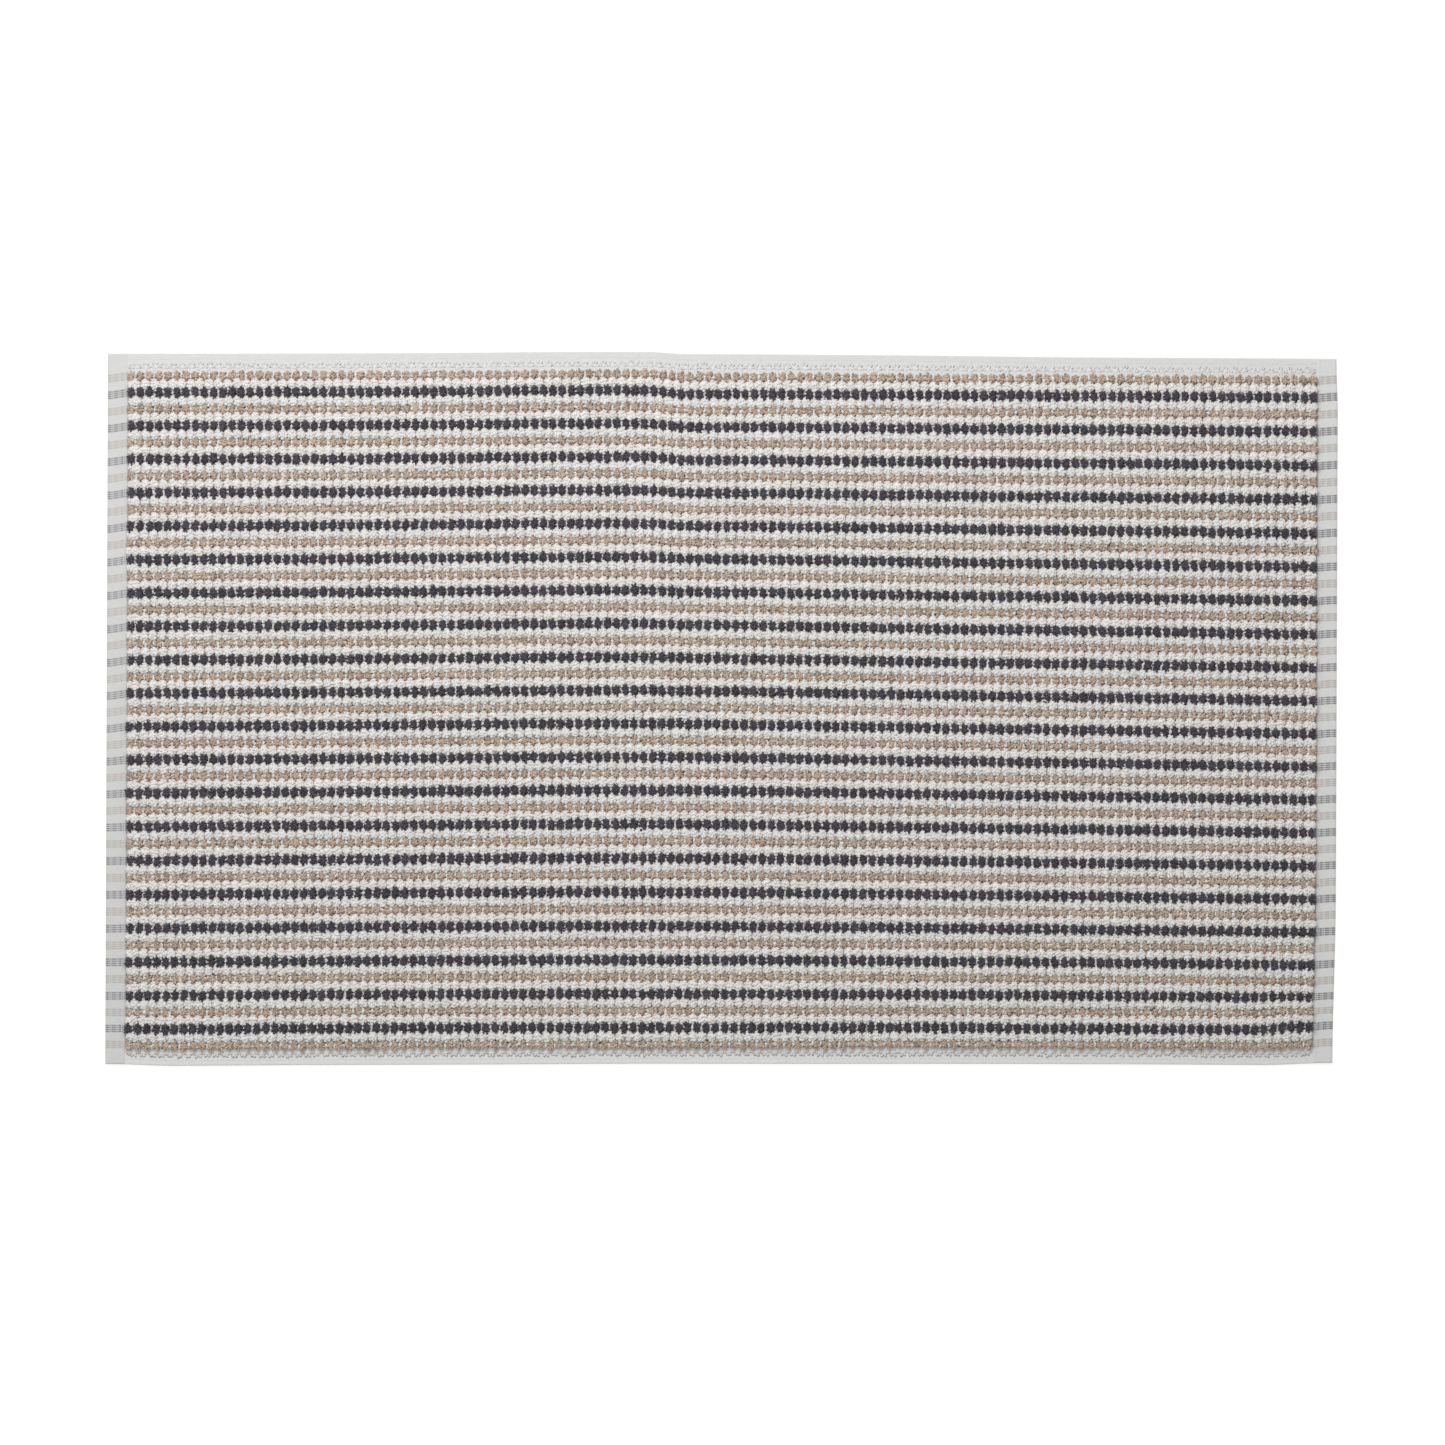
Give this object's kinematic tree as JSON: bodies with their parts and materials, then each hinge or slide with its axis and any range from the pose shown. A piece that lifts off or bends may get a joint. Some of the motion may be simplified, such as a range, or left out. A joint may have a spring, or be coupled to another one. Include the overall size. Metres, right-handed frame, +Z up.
{
  "type": "bath mat",
  "caption": "Rectangular woven cotton bath mat with bobbled loop pile in charcoal and beige stripes on white, and flat hems all round.",
  "frame": {"origin": "middle of the underside, on the plane that the mat lies on", "axes": "+X along the mat's long side and along the stripes, +Y across the stripes, +Z up through the pile"},
  "size_m": [0.867, 0.5, 0.009],
  "materials": {
    "white_pile": "soft looped cotton yarn, undyed white, matt",
    "charcoal_pile": "soft looped cotton yarn, charcoal with a slight purple tint, matt",
    "beige_pile": "soft looped cotton yarn, warm beige with browner specks, matt",
    "ground_weave": "close plain-woven cotton cloth, off-white, with thin coloured warp stripes at the ends, matt",
    "sewing_thread": "white lockstitched sewing thread, slight sheen"
  },
  "bodies": {
    "root": {"ground_cloth": "ground_weave", "white_pile": "white_pile", "beige_row_01": "beige_pile", "beige_row_02": "beige_pile", "beige_row_03": "beige_pile", "beige_row_04": "beige_pile", "beige_row_05": "beige_pile", "beige_row_06": "beige_pile", "beige_row_07": "beige_pile", "beige_row_08": "beige_pile", "beige_row_09": "beige_pile", "beige_row_10": "beige_pile", "beige_row_11": "beige_pile", "beige_row_12": "beige_pile", "beige_row_13": "beige_pile", "beige_row_14": "beige_pile", "beige_row_15": "beige_pile", "beige_row_16": "beige_pile", "beige_row_17": "beige_pile", "beige_row_18": "beige_pile", "beige_row_19": "beige_pile", "beige_row_20": "beige_pile", "beige_row_21": "beige_pile", "charcoal_row_01": "charcoal_pile", "charcoal_row_02": "charcoal_pile", "charcoal_row_03": "charcoal_pile", "charcoal_row_04": "charcoal_pile", "charcoal_row_05": "charcoal_pile", "charcoal_row_06": "charcoal_pile", "charcoal_row_07": "charcoal_pile", "charcoal_row_08": "charcoal_pile", "charcoal_row_09": "charcoal_pile", "charcoal_row_10": "charcoal_pile", "charcoal_row_11": "charcoal_pile", "charcoal_row_12": "charcoal_pile", "charcoal_row_13": "charcoal_pile", "charcoal_row_14": "charcoal_pile", "charcoal_row_15": "charcoal_pile", "charcoal_row_16": "charcoal_pile", "charcoal_row_17": "charcoal_pile", "charcoal_row_18": "charcoal_pile", "charcoal_row_19": "charcoal_pile", "charcoal_row_20": "charcoal_pile", "end_hem_left": "ground_weave", "end_hem_right": "ground_weave", "side_hem_back": "ground_weave", "side_hem_front": "ground_weave", "seam_end_left": "sewing_thread", "seam_end_right": "sewing_thread", "seam_side_back": "sewing_thread", "seam_side_front": "sewing_thread"}
  },
  "joints": []
}
